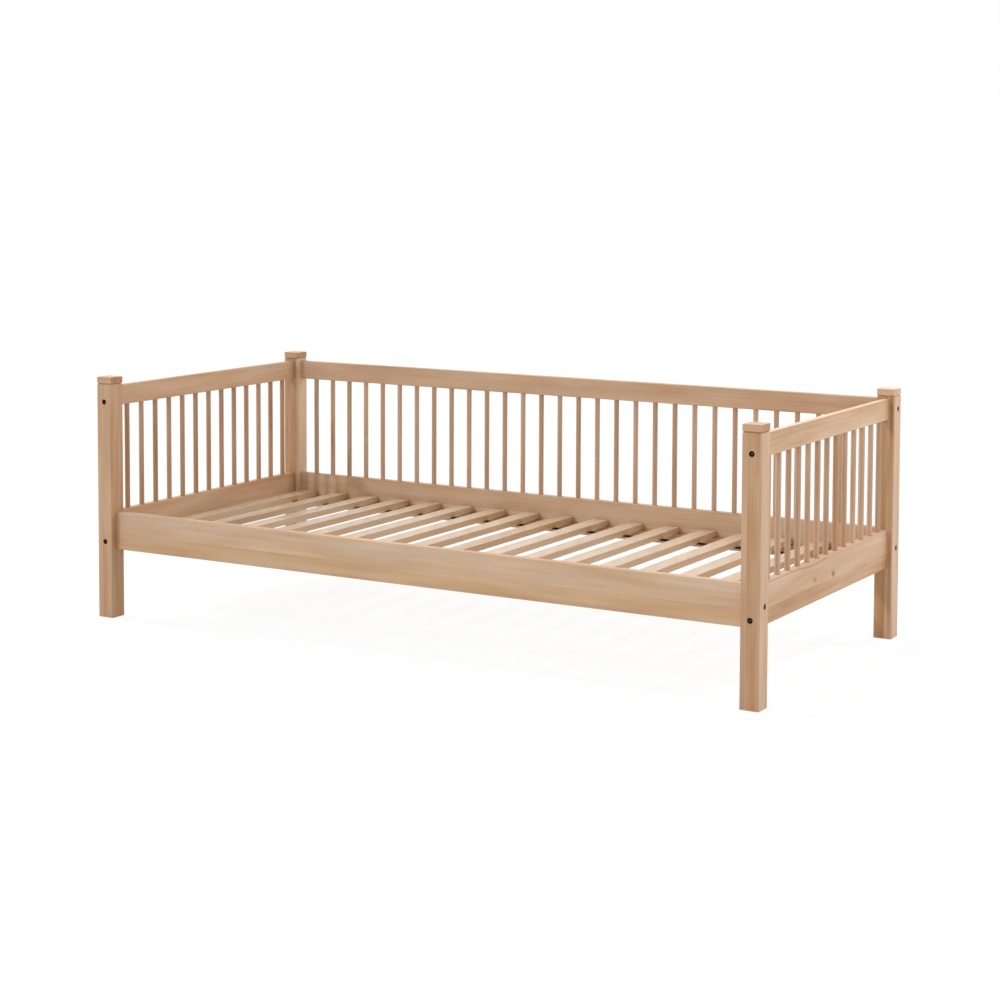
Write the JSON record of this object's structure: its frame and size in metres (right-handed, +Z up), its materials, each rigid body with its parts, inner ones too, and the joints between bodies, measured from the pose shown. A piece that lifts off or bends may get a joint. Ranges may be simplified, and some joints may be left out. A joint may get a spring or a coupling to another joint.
{
  "type": "day bed",
  "caption": "Solid-wood day bed with square capped posts, round-spindle back and ends, a plain front rail, bolted corner joints and a slatted base that lifts out.",
  "frame": {"origin": "on the floor under the middle of the bed", "axes": "+X along the length towards the right end as seen from the open front, +Y from the open front to the back panel, +Z up"},
  "size_m": [2.09, 0.97, 0.704],
  "materials": {
    "beech": "satin, natural oil or clear lacquer",
    "slat_beech": "planed, matt",
    "black_steel": "black zinc",
    "webbing": "woven, matt"
  },
  "bodies": {
    "frame": {"front_left_post": "beech", "front_right_post": "beech", "back_left_post": "beech", "back_right_post": "beech", "front_left_cap": "beech", "front_right_cap": "beech", "back_left_cap": "beech", "back_right_cap": "beech", "left_end_lower_rail_with_spindles": "beech", "right_end_lower_rail_with_spindles": "beech", "back_lower_rail_with_spindles": "beech", "left_end_top_rail": "beech", "right_end_top_rail": "beech", "back_top_rail": "beech", "front_rail": "beech", "front_ledger": "beech", "back_ledger": "beech", "bolt_front_left_left_end_lower_rail": "black_steel", "bolt_front_left_left_end_top_rail": "black_steel", "bolt_front_left_front_rail": "black_steel", "bolt_front_right_right_end_lower_rail": "black_steel", "bolt_front_right_right_end_top_rail": "black_steel", "bolt_front_right_front_rail": "black_steel", "bolt_back_left_left_end_lower_rail": "black_steel", "bolt_back_left_left_end_top_rail": "black_steel", "bolt_back_left_back_lower_rail": "black_steel", "bolt_back_left_back_top_rail": "black_steel", "bolt_back_right_right_end_lower_rail": "black_steel", "bolt_back_right_right_end_top_rail": "black_steel", "bolt_back_right_back_lower_rail": "black_steel", "bolt_back_right_back_top_rail": "black_steel"},
    "slatted_base": {"slat_01": "slat_beech", "slat_02": "slat_beech", "slat_03": "slat_beech", "slat_04": "slat_beech", "slat_05": "slat_beech", "slat_06": "slat_beech", "slat_07": "slat_beech", "slat_08": "slat_beech", "slat_09": "slat_beech", "slat_10": "slat_beech", "slat_11": "slat_beech", "slat_12": "slat_beech", "slat_13": "slat_beech", "slat_14": "slat_beech", "slat_15": "slat_beech", "slat_16": "slat_beech", "slat_17": "slat_beech", "front_strap": "webbing", "back_strap": "webbing"}
  },
  "joints": [
    {"name": "base_lift", "type": "slide", "parent": "frame", "child": "slatted_base", "axis": [0, 0, 1], "range_m": [0, 0.1]}
  ]
}
